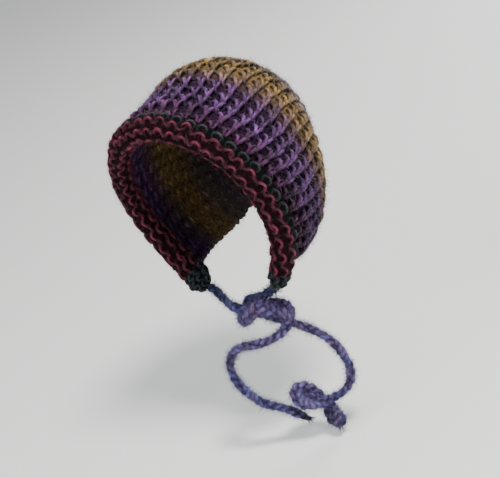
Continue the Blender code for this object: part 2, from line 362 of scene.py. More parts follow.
# Lights: how far back, up and right of the target they stand, their size, power and colour
LIGHTS = (
    ("key", (0.9, 0.85, 0.05), 0.35, 20, (1.0, 0.98, 0.95)),
    ("fill", (0.8, 0.1, -0.9), 0.8, 7, (0.95, 0.97, 1.0)),
    ("rim", (-0.6, 0.8, 0.5), 0.6, 7, (1.0, 1.0, 1.0)),
)
WORLD_COLOUR = (0.86, 0.88, 0.87)
WORLD_STRENGTH = 0.50
FLOOR_COLOUR = (0.92, 0.94, 0.92)
FLOOR_REACH = 4.0
FLOOR_CLEARANCE = 6 * MM

# Camera, from the photograph's viewing angle
IMAGE_WIDTH = 500
IMAGE_HEIGHT = 478
VIEW_AZIMUTH = 44.3
VIEW_ELEVATION = 19.4
VIEW_ROLL = 22.4
VIEW_DISTANCE = 0.9
VIEW_TARGET = (0.0, -0.0212, -0.0649)
TARGET_PIXEL = (218.4, 193.0)
METRES_PER_PIXEL = 0.55 * MM
SENSOR_WIDTH = 36.0

rng = np.random.default_rng(11)


def unit(vectors):
    """Vectors made one long."""
    vectors = np.asarray(vectors, float)
    return vectors / np.maximum(np.linalg.norm(vectors, axis=-1, keepdims=True), SMALLEST)


def hermite(s, first, second, first_slope, second_slope):
    """A smooth step from first to second, where s is the share of the way."""
    return ((2 * s**3 - 3 * s**2 + 1) * first + (s**3 - 2 * s**2 + s) * first_slope
            + (3 * s**2 - 2 * s**3) * second + (s**3 - s**2) * second_slope)


def steps_along(points):
    """Lengths of the steps from each point of a line to the next."""
    return np.linalg.norm(np.diff(points, axis=0), axis=1)


def run_along(points):
    """How far along a line each of its points lies."""
    return np.concatenate([[0], steps_along(points).cumsum()])


def carry_normal(tangent, start):
    """A direction square to each tangent in turn, carried along without twist."""
    normals = np.zeros_like(tangent)
    normal = start
    for k in range(len(tangent)):
        normal = normal - tangent[k] * (normal @ tangent[k])
        normal = normal / max(np.sqrt(normal @ normal), SMALLEST)
        normals[k] = normal
    return normals


def read_table(table, at):
    """A smooth curve through a table's rows, read where the first column equals at."""
    rows = np.array(table, float)
    shares = rows[:, 0]
    values = rows[:, 1:]
    at = np.asarray(at, float)
    k = np.clip(np.searchsorted(shares, at) - 1, 0, len(shares) - 2)
    step = (shares[k + 1] - shares[k])[..., None]
    s = (at - shares[k])[..., None] / step
    slopes = np.gradient(values, shares, axis=0)
    return hermite(s, values[k], values[k + 1], step * slopes[k], step * slopes[k + 1])


def read_line(table, at):
    """A table of two columns, read where the first equals at."""
    return np.interp(at, *zip(*table))


def form_points(share, side):
    """Points of the crown's outer form. side runs from -1 at the right neck edge to 1 at the left."""
    share, side = np.broadcast_arrays(np.asarray(share, float), np.asarray(side, float))
    table = read_table(SECTIONS, share)
    back, level, lean, half, rise, drop, wrap, spread = np.moveaxis(table, -1, 0)
    wrap = np.where(share < SEAM_SHARE, wrap, 180.0)
    turn = np.radians(wrap * side + spread * np.sin(2 * np.pi * side))
    upright = np.cos(turn) * np.where(np.cos(turn) > 0, rise * CROWN_RISE, drop * CROWN_DROP)
    lean = np.radians(lean)
    return np.stack([
        half * CROWN_WIDTH / 2 * np.sin(turn),
        back * CROWN_DEPTH + upright * np.sin(lean),
        level * CROWN_RISE + upright * np.cos(lean),
    ], axis=-1)


def seat_point():
    """The highest point inside the crown, in the section table's own frame."""
    ridge = form_points(np.linspace(0.3, 0.8, 201), 0.0)
    return ridge[ridge[:, 2].argmax()] - np.array([0, 0, WALL])


SEAT = seat_point()


def form_frame(share, side):
    """Points on the form with their directions along the brim, forward and outward."""
    along = form_points(share, side + SHARE_STEP) - form_points(share, side - SHARE_STEP)
    backward = form_points(share + SHARE_STEP, side) - form_points(share - SHARE_STEP, side)
    tangent = unit(along)
    outward = unit(np.cross(along, backward))
    return form_points(share, side) - SEAT, tangent, np.cross(tangent, outward), outward


BRIM_LENGTH = steps_along(form_points(ROLL_SHARE, np.linspace(-1, 1, 81))).sum()


def stripe_dye(stripes, at):
    """Dye at a share of the way along a striped yarn."""
    stops = np.array([stop for stop, dye in stripes])
    dyes = np.array([dye for stop, dye in stripes])
    return np.stack([np.interp(at, stops, dyes[:, k]) for k in range(3)], axis=-1)


def wander(count, step, seed):
    """A smooth random line of count values between -1 and 1, with a knot every step values."""
    knots = np.random.default_rng(seed).uniform(-1, 1, count // step + 3)
    return np.interp(np.arange(count) / step, np.arange(len(knots)), knots)


class YarnMesh:
    """Tubes of yarn gathered into one mesh, with the yarn's dye, lift and ply position; the lift sets
    painted shade and highlight.
    """

    def __init__(self):
        self.points, self.faces, self.uvs, self.dyes, self.lifts, self.outs = [], [], [], [], [], []
        self.count = 0

    def add(self, path, radius, dye, outward, lift, sides=YARN_SIDES, sunk=0.0):
        """One tube. lift is how far out of the fabric its outer flank lies, sunk the same of its back;
        they set the painted light of its outer and inner flank.
        """
        path = np.asarray(path, float)
        n = len(path)
        radius, lift, sunk = (np.broadcast_to(np.asarray(value, float), (n,))
                              for value in (radius, lift, sunk))
        dye, outward = (np.broadcast_to(np.asarray(value, float), (n, 3)) for value in (dye, outward))
        tangent = unit(np.gradient(path, axis=0))
        start = unit(np.cross(tangent[0], unit(np.cross(outward[0], tangent[0]) + NUDGE)))
        normals = carry_normal(tangent, start)
        binormals = np.cross(tangent, normals)
        angle = np.arange(sides) / sides * 2 * np.pi
        ring = (normals[:, None] * np.cos(angle)[None, :, None]
                + binormals[:, None] * np.sin(angle)[None, :, None])
        # The flank facing out takes the lift, the flank facing in the sunk: painted light by side
        facing = 0.5 + 0.5 * (ring * outward[:, None]).sum(-1)
        self.points.append((path[:, None] + ring * radius[:, None, None]).reshape(-1, 3))
        self.outs.append(ring.reshape(-1, 3))
        self.dyes.append(np.repeat(dye, sides, axis=0))
        self.lifts.append(np.maximum(lift[:, None] * facing, sunk[:, None] * (1 - facing)).ravel())
        self.add_sides(n, sides, run_along(path) / PLY_PITCH)
        self.add_ends(n, sides)
        self.count += n * sides

    def add_sides(self, n, sides, run):
        """Faces round a tube. Their UVs count its ply turns in the first direction."""
        k, j = np.meshgrid(np.arange(n - 1), np.arange(sides), indexing="ij")
        k, j = k.ravel(), j.ravel()
        following = (j + 1) % sides
        self.faces.append(np.stack([k * sides + j, k * sides + following, (k + 1) * sides + following,
                                    (k + 1) * sides + j], axis=1) + self.count)
        around = np.stack([j, j + 1, j + 1, j], axis=1) / sides
        along = np.stack([run[k], run[k], run[k + 1], run[k + 1]], axis=1)
        self.uvs.append(np.stack([along + around * PLIES, around], axis=-1).reshape(-1, 2))

    def add_ends(self, n, sides):
        """A tube's two ends, closed with fans of triangles."""
        for row in (0, n - 1):
            corner = self.count + row * sides + np.arange(sides)
            corner = corner[::-1] if row == 0 else corner
            for k in range(1, sides - 1):
                self.faces.append(np.array([[corner[0], corner[k], corner[k + 1], -1]]))
                self.uvs.append(np.zeros((3, 2)))

    def vertices(self):
        return np.vstack(self.points), np.vstack(self.dyes), np.concatenate(self.lifts)


def link_object(name, data):
    made = bpy.data.objects.new(name, data)
    bpy.context.scene.collection.objects.link(made)
    return made


def build_object(name, points, faces, material, dyes, lifts, uvs=None):
    """A mesh object from arrays. A face's fourth index is -1 where it is a triangle."""
    mesh = bpy.data.meshes.new(name)
    sizes = np.where(faces[:, 3] < 0, 3, 4)
    starts = np.concatenate([[0], sizes.cumsum()[:-1]])
    corners = faces.ravel()[faces.ravel() >= 0]
    mesh.vertices.add(len(points))
    mesh.vertices.foreach_set("co", np.asarray(points, np.float32).ravel())
    mesh.loops.add(len(corners))
    mesh.loops.foreach_set("vertex_index", corners.astype(np.int32))
    mesh.polygons.add(len(faces))
    mesh.polygons.foreach_set("loop_start", starts.astype(np.int32))
    mesh.polygons.foreach_set("use_smooth", np.full(len(faces), True))
    mesh.update(calc_edges=True)
    if uvs is not None:
        layer = mesh.uv_layers.new(name="yarn")
        layer.data.foreach_set("uv", np.asarray(uvs, np.float32).ravel())
    colours = np.column_stack([dyes, np.ones(len(points))])
    for key, kind, field, values in (("dye", "FLOAT_COLOR", "color", colours),
                                     ("lift", "FLOAT", "value", lifts)):
        attribute = mesh.attributes.new(key, kind, "POINT")
        attribute.data.foreach_set(field, np.asarray(values, np.float32).ravel())
    mesh.validate()
    mesh.materials.append(material)
    return link_object(name, mesh)


def yarn_object(name, yarn, material):
    points, dyes, lifts = yarn.vertices()
    return build_object(name, points, np.vstack(yarn.faces), material, dyes, lifts, np.vstack(yarn.uvs))


def fuzz_object(name, yarn, material, kind, which=0):
    """Loose fibres standing off the yarn, each a narrow ribbon bent over once."""
    points, dyes, lifts = yarn.vertices()
    count, length, width, seed = FIBRES[kind]
    draw = np.random.default_rng(seed + which)
    weight = DEEP_FIBRES + lifts
    chosen = draw.choice(len(points), count, p=weight / weight.sum())
    root = points[chosen]
    out = np.vstack(yarn.outs)[chosen]
    lean = unit(draw.normal(size=(count, 3)))
    reach = length * draw.uniform(SHORTEST_FIBRE, 1.0, count)[:, None]
    middle, tip = (root + (out * off + lean * aside) * reach * share
                   for off, aside, share in (FIBRE_MIDDLE, FIBRE_TIP))
    across = unit(np.cross(out, lean)) * width / 2
    strip = np.stack([root - across, root + across,
                      middle + across * FIBRE_MIDDLE_WIDTH, middle - across * FIBRE_MIDDLE_WIDTH,
                      tip + across * FIBRE_TIP_WIDTH, tip - across * FIBRE_TIP_WIDTH], axis=1)
    corners = strip.shape[1]
    base = np.arange(count)[:, None] * corners
    quads = np.vstack([base + np.array([[0, 1, 2, 3]]), base + np.array([[3, 2, 4, 5]])])
    dye = np.repeat(dyes[chosen], corners, axis=0)
    # Each fibre's painted light comes from its root's lift, uneven from fibre to fibre
    lift = np.repeat(lifts[chosen]**1.5 * draw.uniform(0.2, 1.0, count), corners)
    return build_object(name, strip.reshape(-1, 3), quads, material, dye, lift)


def sheet_shell(name, layers, dye, material, shades=(1.0, 1.0)):
    """A thin closed sheet from an outer and an inner grid of points, each with its own shade."""
    outer, inner = layers
    n, m = outer.shape[:2]
    k, j = np.meshgrid(np.arange(n - 1), np.arange(m - 1), indexing="ij")
    k, j = k.ravel(), j.ravel()
    a, b, c, d = k * m + j, k * m + j + 1, (k + 1) * m + j + 1, (k + 1) * m + j
    faces = [np.stack([a, b, c, d], axis=1), np.stack([d, c, b, a], axis=1) + n * m]
    row, column = np.arange(m - 1), np.arange(n - 1) * m
    for rim, step in ((row, 1), (row + (n - 1) * m, 1), (column, m), (column + m - 1, m)):
        faces.append(np.stack([rim, rim + step, rim + step + n * m, rim + n * m], axis=1))
    points = np.vstack([outer.reshape(-1, 3), inner.reshape(-1, 3)])
    dyes = np.vstack([dye * shades[0], dye * shades[1]])
    return build_object(name, points, np.vstack(faces), material, dyes, np.zeros(2 * n * m))


def node(tree, kind, **settings):
    made = tree.nodes.new(kind)
    for key, value in settings.items():
        setattr(made, key, value)
    return made


def fill(made, values):
    for key, value in values.items():
        made.inputs[key].default_value = value


def math_node(tree, operation, first, second=None, clamp=False):
    made = node(tree, "ShaderNodeMath", operation=operation, use_clamp=clamp)
    for k, value in enumerate((first, second)):
        if value is None:
            continue
        if isinstance(value, (int, float)):
            made.inputs[k].default_value = value
        else:
            tree.links.new(value, made.inputs[k])
    return made.outputs[0]


def times(tree, first, second, clamp=False):
    return math_node(tree, "MULTIPLY", first, second, clamp)


def scale_and_add(tree, value, gain, offset):
    return math_node(tree, "ADD", times(tree, value, gain), offset)


def mix_colour(tree, factor, first, second, blend="MIX"):
    """One colour laid over another. Each is a socket or a linear RGB."""
    made = node(tree, "ShaderNodeMix", data_type="RGBA", blend_type=blend)
    made.clamp_factor = True
    for key, value in zip(MIX_INPUTS, (factor, first, second)):
        if isinstance(value, (int, float)):
            made.inputs[key].default_value = value
        elif isinstance(value, tuple):
            made.inputs[key].default_value = (*value, 1)
        else:
            tree.links.new(value, made.inputs[key])
    return made.outputs[MIX_OUTPUT]


def shade_colour(tree, colour, shade):
    """A colour times one value."""
    grey = node(tree, "ShaderNodeCombineColor")
    for k in range(3):
        tree.links.new(shade, grey.inputs[k])
    return mix_colour(tree, 1.0, colour, grey.outputs[0], "MULTIPLY")


def noise(tree, vector, scale, detail):
    made = node(tree, "ShaderNodeTexNoise")
    fill(made, {"Scale": scale, "Detail": detail})
    tree.links.new(vector, made.inputs["Vector"])
    return made.outputs["Fac"]


def ramp(tree, value, start, end, low=0.0, high=1.0, kind="SMOOTHSTEP"):
    """Goes from low to high while the value goes from start to end."""
    made = node(tree, "ShaderNodeMapRange", interpolation_type=kind)
    fill(made, {"From Min": start, "From Max": end, "To Min": low, "To Max": high})
    tree.links.new(value, made.inputs["Value"])
    return made.outputs[0]


def add_bump(tree, shader, height, strength, distance):
    made = node(tree, "ShaderNodeBump")
    fill(made, {"Strength": strength, "Distance": distance})
    tree.links.new(height, made.inputs["Height"])
    tree.links.new(made.outputs[0], shader.inputs["Normal"])


def start_material(name, roughness, specular):
    """A new material, with its node tree, its shader, and the dye and lift stored in the mesh."""
    material = bpy.data.materials.new(name)
    material.use_nodes = True
    tree = material.node_tree
    shader = tree.nodes["Principled BSDF"]
    fill(shader, {"Roughness": roughness, "Specular IOR Level": specular})
    dye = node(tree, "ShaderNodeAttribute", attribute_name="dye").outputs["Color"]
    lift = node(tree, "ShaderNodeAttribute", attribute_name="lift").outputs["Fac"]
    return material, tree, shader, dye, lift


def yarn_material(name, shadow, highlight, highlight_share, sheen):
    """Wool: painted shade in its depths, dyed on its flanks, painted highlight in streaks along the
    crest, and a ply twist with painted shade in its grooves.
    """
    material, tree, shader, dye, lift = start_material(name, roughness=0.72, specular=0.25)
    uv = node(tree, "ShaderNodeUVMap", uv_map="yarn").outputs["UV"]
    parts = node(tree, "ShaderNodeSeparateXYZ")
    tree.links.new(uv, parts.inputs[0])
    twist = math_node(tree, "SINE", times(tree, parts.outputs["X"], 2 * np.pi))
    ply = scale_and_add(tree, twist, 0.5, 0.5)
    coordinates = node(tree, "ShaderNodeTexCoord").outputs["Object"]
    fibre = noise(tree, coordinates, scale=2200, detail=3)
    strand = noise(tree, uv, scale=5, detail=2)
    mottle = noise(tree, coordinates, scale=420, detail=3)

    # Painted shade: the yarn darkens to the shadow share where its lift is low
    depth = ramp(tree, lift, *SHADE_LIFTS, shadow, 1.0)
    shade = times(tree, depth, scale_and_add(tree, mottle, MOTTLE_GAIN, MOTTLE_BASE))
    # Painted shade in the grooves between the plies
    groove = scale_and_add(tree, ply, PLY_GROOVE_SHADE, 1 - PLY_GROOVE_SHADE / 2)
    body = shade_colour(tree, dye, times(tree, shade, groove))

    # Painted highlight: a pale colour laid on the crest where the lift is highest, broken into streaks by
    # noise
    crest = ramp(tree, lift, *HIGHLIGHT_LIFTS)
    light = times(tree, crest, ramp(tree, strand, *STREAK_NOISE))
    light = times(tree, light, highlight_share)
    tip = mix_colour(tree, HIGHLIGHT_MIX, dye, highlight)
    tree.links.new(mix_colour(tree, light, body, tip), shader.inputs["Base Color"])
    fill(shader, {"Sheen Weight": sheen, "Sheen Roughness": 0.4, "Sheen Tint": (*highlight, 1)})

    height = math_node(tree, "ADD", times(tree, ply, 0.6), times(tree, fibre, 0.5))
    add_bump(tree, shader, height, strength=0.7, distance=0.35 * MM)
    return material


def fuzz_material(name, highlight, gain):
    """Loose fibres: painted shade where they root deep, the yarn's dye further out, and painted highlight
    where they stand off the crest.
    """
    material, tree, shader, dye, lift = start_material(name, roughness=0.9, specular=0.15)
    dark = mix_colour(tree, 0.75, dye, (0.0, 0.0, 0.0))
    body = mix_colour(tree, times(tree, lift, 2.0, clamp=True), dark, dye)
    colour = mix_colour(tree, times(tree, lift, gain), body, highlight)
    tree.links.new(colour, shader.inputs["Base Color"])
    return material


def backing_material(name):
    """The matted inside of the fabric between the stitches."""
    material, tree, shader, dye, lift = start_material(name, roughness=0.95, specular=0.1)
    coordinates = node(tree, "ShaderNodeTexCoord").outputs["Object"]
    felt = noise(tree, coordinates, scale=900, detail=4)
    tone = ramp(tree, felt, 0.3, 0.7, 0.4, 1.3, kind="LINEAR")
    tree.links.new(shade_colour(tree, dye, tone), shader.inputs["Base Color"])
    add_bump(tree, shader, felt, strength=0.8, distance=0.4 * MM)
    return material


def loop_curve(table, samples):
    """Even samples of one stitch along a smooth closed table, which repeats one column further on."""
    rows = np.array(table, float)
    n = len(rows)
    before, after = rows - [1, 0, 0], rows + [1, 0, 0]
    ring = np.vstack([before, rows, after])
    slopes = (ring[2:] - ring[:-2]) / 2
    slopes = np.vstack([slopes[:1], slopes, slopes[-1:]])
    at = np.linspace(0, n, samples, endpoint=False)
    k = np.floor(at).astype(int)
    s = (at - k)[:, None]
    return hermite(s, ring[n + k], ring[n + k + 1], slopes[n + k], slopes[n + k + 1])


def row_of_loops(curve, columns):
    """One stitch's points repeated for a row of columns, and the column of each point."""
    return np.tile(curve, (columns, 1)), np.repeat(np.arange(columns), LOOP_SAMPLES)


def uneven_row(curve, columns, jitter):
    """A row of stitches, each shifted a little: its loops, columns, shifts, and sides from -1 to 1."""
    loops, index = row_of_loops(curve, columns)
    shift = rng.normal(size=(columns, 3))[index] * jitter
    across = index + 0.5 + loops[:, 0] + shift[:, 0]
    return loops, index, shift, np.clip(across / columns * 2 - 1, -1, 1)


def uneven_tone(index, row_share, stitch_share, seed):
    """How light each point of a row is."""
    tone = 1 + row_share * wander(len(index), step=30, seed=seed)[:, None]
    return tone * np.exp(rng.normal(size=(index[-1] + 1, 1))[index] * stitch_share)


def lift_from(out, levels):
    """How far out of the fabric the yarn lies, from 0 to 1. levels: where 0 is, and how far off 1 is."""
    lowest, span = levels
    return np.clip((out - lowest) / span, 0, 1)


def crown_rows():
    """How many rows the crown has, and the shares where they start, from the row before the first."""
    shares = np.linspace(CROWN_FIRST_SHARE, 1.0, 400)
    run = run_along(form_points(shares, ROW_LINE_SIDE))
    last = np.interp(CROWN_LAST_SHARE, shares, run)
    count = int(round(last / ROW_HEIGHT))
    return count, np.interp(np.arange(-1, count + 3) * last / count, run, shares)


def share_at(starts, row):
    return np.interp(row, np.arange(-1, len(starts) - 1), starts)


def row_at(starts, share):
    return np.interp(share, starts, np.arange(-1, len(starts) - 1))


def crown_drop(share, side):
    """How far the crown's front rows lie below the form, where they run in behind the roll."""
    level = ROLL_HEIGHT / 2 - TUCK_EASE * side**2
    s = np.clip((TUCK_SHARE - share) / (TUCK_SHARE - CROWN_FIRST_SHARE), 0, 1)
    return level * s**TUCK_POWER


def crown_surface(share, side, out):
    point, tangent, forward, outward = form_frame(share, side)
    return point + outward * (out - crown_drop(share, side))[..., None], outward


def columns_at(share):
    """How many columns of stitches are left: the crown is knitted together towards its back."""
    return int(round(read_line(NARROWING, share)))


def column_width(share, columns):
    return steps_along(form_points(share, np.linspace(-1, 1, 41))).sum() / columns


def add_crown_row(yarn, curve, row, count, starts):
    """One row of knit stitches, from the right neck edge to the left."""
    row_share = share_at(starts, row)
    columns = columns_at(row_share)
    loops, index, shift, side = uneven_row(curve, columns, CROWN_JITTER)
    place = row + loops[:, 1] + shift[:, 1]
    share = np.minimum(share_at(starts, place), POLE_SHARE)
    out = -WALL / 2 + (loops[:, 2] + shift[:, 2]) * STITCH_DEPTH
    path, outward = crown_surface(share, side, out)
    n = len(path)
    tone = uneven_tone(index, *CROWN_TONES, CROWN_TONE_SEED + row)
    # Painted shade towards the neck edges
    cheek = np.clip((np.abs(side) - CHEEK_START) / (1 - CHEEK_START), 0, 1)
    way = (place + wander(n, step=60, seed=CROWN_DYE_SEED + row) * CROWN_DYE_WANDER) / count
    dye = stripe_dye(CROWN_STRIPES, way) * tone * (1 - CHEEK_SHADE * cheek)[:, None]
    # The gold stripe's lift is cut: less painted highlight, more painted shade
    lift = lift_from(loops[:, 2], KNIT_LIFT) * (1 - GOLD_HIGHLIGHT_CUT * read_line(GOLD_PART, place / count))
    # sunk: painted light on the backs of the stitches, seen from inside the crown
    sunk = np.clip((SUNK_START - loops[:, 2]) / SUNK_SPAN, 0, SUNK_MOST)
    narrow = min(1.0, column_width(row_share, columns) / FULL_COLUMN_WIDTH)
    girth = 1 + CROWN_GIRTH_WANDER * wander(n, step=9, seed=CROWN_GIRTH_SEED + row)
    radius = CROWN_YARN_RADIUS * (THINNEST_YARN + (1 - THINNEST_YARN) * narrow) * girth
    yarn.add(path, radius, dye, outward, lift, sunk=sunk)


def add_neck_edging(yarn, starts, count):
    """Two strands of yarn that bind the crown's open edge over the neck, from cheek to seam."""
    share = np.linspace(CROWN_FIRST_SHARE, SEAM_SHARE - SHARE_STEP, 160)
    run = row_at(starts, share)
    dye = stripe_dye(CROWN_STRIPES, run / count)
    for which in (1, -1):
        for strand in range(2):
            phase = np.pi * (run * EDGING_CROSSINGS + strand)
            side = which * (1 - EDGING_WIDTH * (1 + np.sin(phase)))
            path, outward = crown_surface(share, side, -WALL / 2 + np.cos(phase) * EDGING_RISE)
            # The strand on top gets more painted light, the one beneath more painted shade
            yarn.add(path, YARN_RADIUS, dye, outward, 0.55 + 0.35 * np.cos(phase))


def add_pole_gather(yarn):
    """The last round drawn tight on the pole: one turn of yarn after another, smaller and smaller."""
    turn = np.linspace(0, POLE_TURNS * 2 * np.pi, 90)
    share = np.linspace(*POLE_GATHER, len(turn))
    side = (turn / np.pi) % 2 - 1
    path, outward = crown_surface(share, side, np.full(len(turn), -WALL / 2 + 0.4 * MM))
    # An even, middling painted light
    yarn.add(path, YARN_RADIUS * 0.9, CROWN_STRIPES[-1][1], outward, 0.7)


def make_crown_backing(count, starts, material):
    """The matted sheet between the crown's stitches, lower under its ribs' valleys; its faces are
    darkened as painted shade in the gaps and inside.
    """
    rows = np.concatenate([np.linspace(CROWN_FIRST_SHARE - 0.01, 0.96, 90), [0.98, POLE_SHARE]])
    sides = np.linspace(-1, 1, RIB_COUNT * 4 + 1)
    grid_share, grid_side = np.meshgrid(rows, sides, indexing="ij")
    outer, inner = CROWN_BACKING
    valley = np.cos(np.pi * (grid_side + 1) * RIB_COUNT)**2 * RIB_VALLEY
    way = row_at(starts, grid_share) / count
    matted = read_line(GOLD_PART, way) * GOLD_RAISE
    layers = [crown_surface(grid_share, grid_side, matted - outer - valley)[0],
              crown_surface(grid_share, grid_side, np.full(way.shape, -inner))[0]]
    dye = stripe_dye(CROWN_STRIPES, way.ravel())
    # Painted shade of the gaps, less where the gold stripe is matted full
    felt = read_table(CROWN_FELT_AND_SHADE, way.ravel())
    return sheet_shell("crown_backing", layers, dye, material, (felt, CROWN_INSIDE_SHADE))


def make_crown(materials):
    count, starts = crown_rows()
    curve = loop_curve(KNIT_LOOP, LOOP_SAMPLES)
    yarn = YarnMesh()
    for row in range(count):
        add_crown_row(yarn, curve, row, count, starts)
    add_neck_edging(yarn, starts, count)
    add_pole_gather(yarn)
    stitches = yarn_object("crown_stitches", yarn, materials["wool"])
    fuzz = fuzz_object("crown_fuzz", yarn, materials["fuzz"], "crown")
    backing = make_crown_backing(count, starts, materials["felt"])
    for piece in (stitches, fuzz, backing):
        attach(piece, "root")
    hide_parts("crown")


def roll_surface(turn, side, out):
    """Points on the curled brim: turn is in degrees round its section, 0 forward and 90 outward."""
    origin, tangent, forward, outward = form_frame(ROLL_SHARE, side)
    turn = np.radians(turn)
    normal = unit(np.stack([np.cos(turn) / ROLL_WIDTH, np.sin(turn) / ROLL_HEIGHT], axis=-1))
    forward_by = np.cos(turn) * ROLL_WIDTH / 2 + normal[..., 0] * out
    outward_by = np.sin(turn) * ROLL_HEIGHT / 2 - ROLL_HEIGHT / 2 + normal[..., 1] * out
    point = origin + forward * forward_by[..., None] + outward * outward_by[..., None]
    return point, forward * normal[..., :1] + outward * normal[..., 1:]


def roll_turns():
    """Turns round the roll's section at even steps of its length, with the length as a share."""
    turn = np.linspace(ROLL_TURN_START, ROLL_TURN_END, 200)
    angle = np.radians(turn)
    run = run_along(np.stack([np.cos(angle) * ROLL_WIDTH, np.sin(angle) * ROLL_HEIGHT], axis=1) / 2)
    return run / run[-1], turn


def add_brim_course(yarn, curve, row, run, turns):
    """One course of purl bumps round the roll. The last one is dyed like the strip against the crown."""
    last = row == ROLL_ROW_COUNT - 1
    columns = int(round(RIB_COUNT * ROLL_END_SIDE))
    loops, index, shift, side = uneven_row(curve, columns, BRIM_JITTER)
    if last:
        loops = loops * LAST_COURSE_STRETCH
    place = row + COURSE_START + (loops[:, 1] + shift[:, 1]) * COURSE_REACH
    turn = np.interp(place / (ROLL_ROW_COUNT + COURSE_SPARE), run, turns)
    relief = STITCH_DEPTH * (LAST_COURSE_RELIEF if last else PURL_RELIEF)
    out = np.minimum(loops[:, 2] + shift[:, 2], BRIM_HIGHEST) * relief - YARN_RADIUS * BRIM_SINK
    path, outward = roll_surface(turn, side * ROLL_END_SIDE, out)
    tone = uneven_tone(index, *BRIM_TONES, BRIM_TONE_SEED + row)
    dye = np.array(BRIM_COURSES[row]) * tone
    if last:
        dye = np.where(loops[:, 1:2] > LAST_COURSE_DYE_START, dye, BRIM_COURSES[row - 1])
    girth = 1 + BRIM_GIRTH_WANDER * wander(len(path), step=9, seed=BRIM_GIRTH_SEED + row)
    yarn.add(path, YARN_RADIUS * BRIM_GIRTH * girth, dye, outward, lift_from(loops[:, 2], PURL_LIFT))


def make_brim_backing(run, turns, material):
    turn_grid, side_grid = np.meshgrid(np.linspace(ROLL_TURN_START, ROLL_TURN_END, 40),
                                       np.linspace(-ROLL_END_SIDE, ROLL_END_SIDE, 129), indexing="ij")
    layers = [roll_surface(turn_grid, side_grid, np.full(turn_grid.shape, -depth))[0]
              for depth in BRIM_BACKING]
    course = (np.interp(turn_grid.ravel(), turns, run) * ROLL_ROW_COUNT).astype(int)
    # The brim's sheet is dyed nearly black: painted shade in the holes
    dye = np.array(BRIM_COURSES)[np.clip(course, 0, ROLL_ROW_COUNT - 1)] * BRIM_GAP_SHADE
    return sheet_shell("brim_backing", layers, dye, material)


def make_brim(materials):
    run, turns = roll_turns()
    curve = loop_curve(PURL_LOOP, LOOP_SAMPLES)
    yarn = YarnMesh()
    for row in range(ROLL_ROW_COUNT):
        add_brim_course(yarn, curve, row, run, turns)
    stitches = yarn_object("brim_stitches", yarn, materials["brim_wool"])
    fuzz = fuzz_object("brim_fuzz", yarn, materials["brim_fuzz"], "brim")
    backing = make_brim_backing(run, turns, materials["felt"])
    for piece in (stitches, fuzz, backing):
        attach(piece, "root")
    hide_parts("brim_roll")


def corner_frame(which, along):
    """Middle of a corner's section and its directions, at a distance past the roll's end."""
    side = which * (ROLL_END_SIDE + 2 * along / BRIM_LENGTH)
    origin, tangent, forward, outward = form_frame(ROLL_SHARE, side)
    return origin - outward * ROLL_HEIGHT / 2, tangent * which, forward, outward


def corner_size(share):
    return read_table(CORNER_SECTIONS, np.maximum(share, 0))[..., 0]


def corner_surface(which, share, angle, out):
    size = corner_size(share)
    middle, tangent, forward, outward = corner_frame(which, GAP + share * CORNER_LENGTH)
    normal = forward * np.cos(angle)[..., None] + outward * np.sin(angle)[..., None]
    return (middle + forward * (np.cos(angle) * (size * ROLL_WIDTH / 2 + out))[..., None]
            + outward * (np.sin(angle) * (size * ROLL_HEIGHT / 2 + out))[..., None]), normal


def make_corner(name, which, materials):
    """The gathered corner: the brim's stitches drawn together into the tie."""
    yarn = YarnMesh()
    curve = loop_curve(PURL_LOOP, LOOP_SAMPLES)
    for row in range(CORNER_ROWS):
        loops, index = row_of_loops(curve, CORNER_COLUMNS)
        jitter = rng.normal(size=CORNER_COLUMNS)[index] * CORNER_JITTER
        share = (index + 0.5 + loops[:, 0] + jitter) / CORNER_COLUMNS
        share = np.clip(share * (1 + CORNER_OVERLAP) - CORNER_OVERLAP, -CORNER_OVERLAP, 1)
        angle = (row + loops[:, 1]) / CORNER_ROWS * 2 * np.pi
        shrink = corner_size(share)
        out = loops[:, 2] * STITCH_DEPTH * PURL_RELIEF * shrink - YARN_RADIUS * CORNER_SINK
        path, outward = corner_surface(which, share, angle, out)
        tone = 1 + CORNER_TONE * wander(len(path), step=12, seed=CORNER_TONE_SEED + row)[:, None]
        radius = YARN_RADIUS * (CORNER_THINNEST + (1 - CORNER_THINNEST) * shrink)
        yarn.add(path, radius, np.array(CORNER_DYE) * tone, outward, lift_from(loops[:, 2], PURL_LIFT))
    stitches = yarn_object(name + "_stitches", yarn, materials["dark_wool"])
    fuzz = fuzz_object(name + "_fuzz", yarn, materials["fuzz"], "corner", which)
    grid_share, grid_angle = np.meshgrid(np.linspace(0, 1, 14), np.linspace(0, 2 * np.pi, 25),
                                         indexing="ij")
    core = [corner_surface(which, grid_share, grid_angle, np.full(grid_share.shape, -depth))[0]
            for depth in CORNER_BACKING]
    # The corner's sheet is darkened: painted shade in the gaps
    dye = np.tile(np.array(CORNER_DYE) * CORNER_GAP_SHADE, (grid_share.size, 1))
    backing = sheet_shell(name + "_backing", core, dye, materials["felt"])
    for piece in (stitches, fuzz, backing):
        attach(piece, "root")
    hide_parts(name)


def smooth_route(points, step):
    """Points at even steps along a smooth curve through the route's own points, and its length."""
    slopes = np.gradient(points, axis=0)
    fine = []
    for k in range(len(points) - 1):
        s = np.linspace(0, 1, 16, endpoint=False)[:, None]
        fine.append(hermite(s, points[k], points[k + 1], slopes[k], slopes[k + 1]))
    fine = np.vstack(fine + [points[-1:]])
    run = run_along(fine)
    even = np.linspace(0, run[-1], max(2, round(run[-1] / step) + 1))
    return np.stack([np.interp(even, run, fine[:, axis]) for axis in range(3)], axis=1), run[-1]


def route_frames(path):
    """Two directions square to a path at each of its points, without twist."""
    tangent = unit(np.gradient(path, axis=0))
    first = carry_normal(tangent, unit(np.cross(tangent[0], FRAME_START)))
    return first, np.cross(tangent, first)


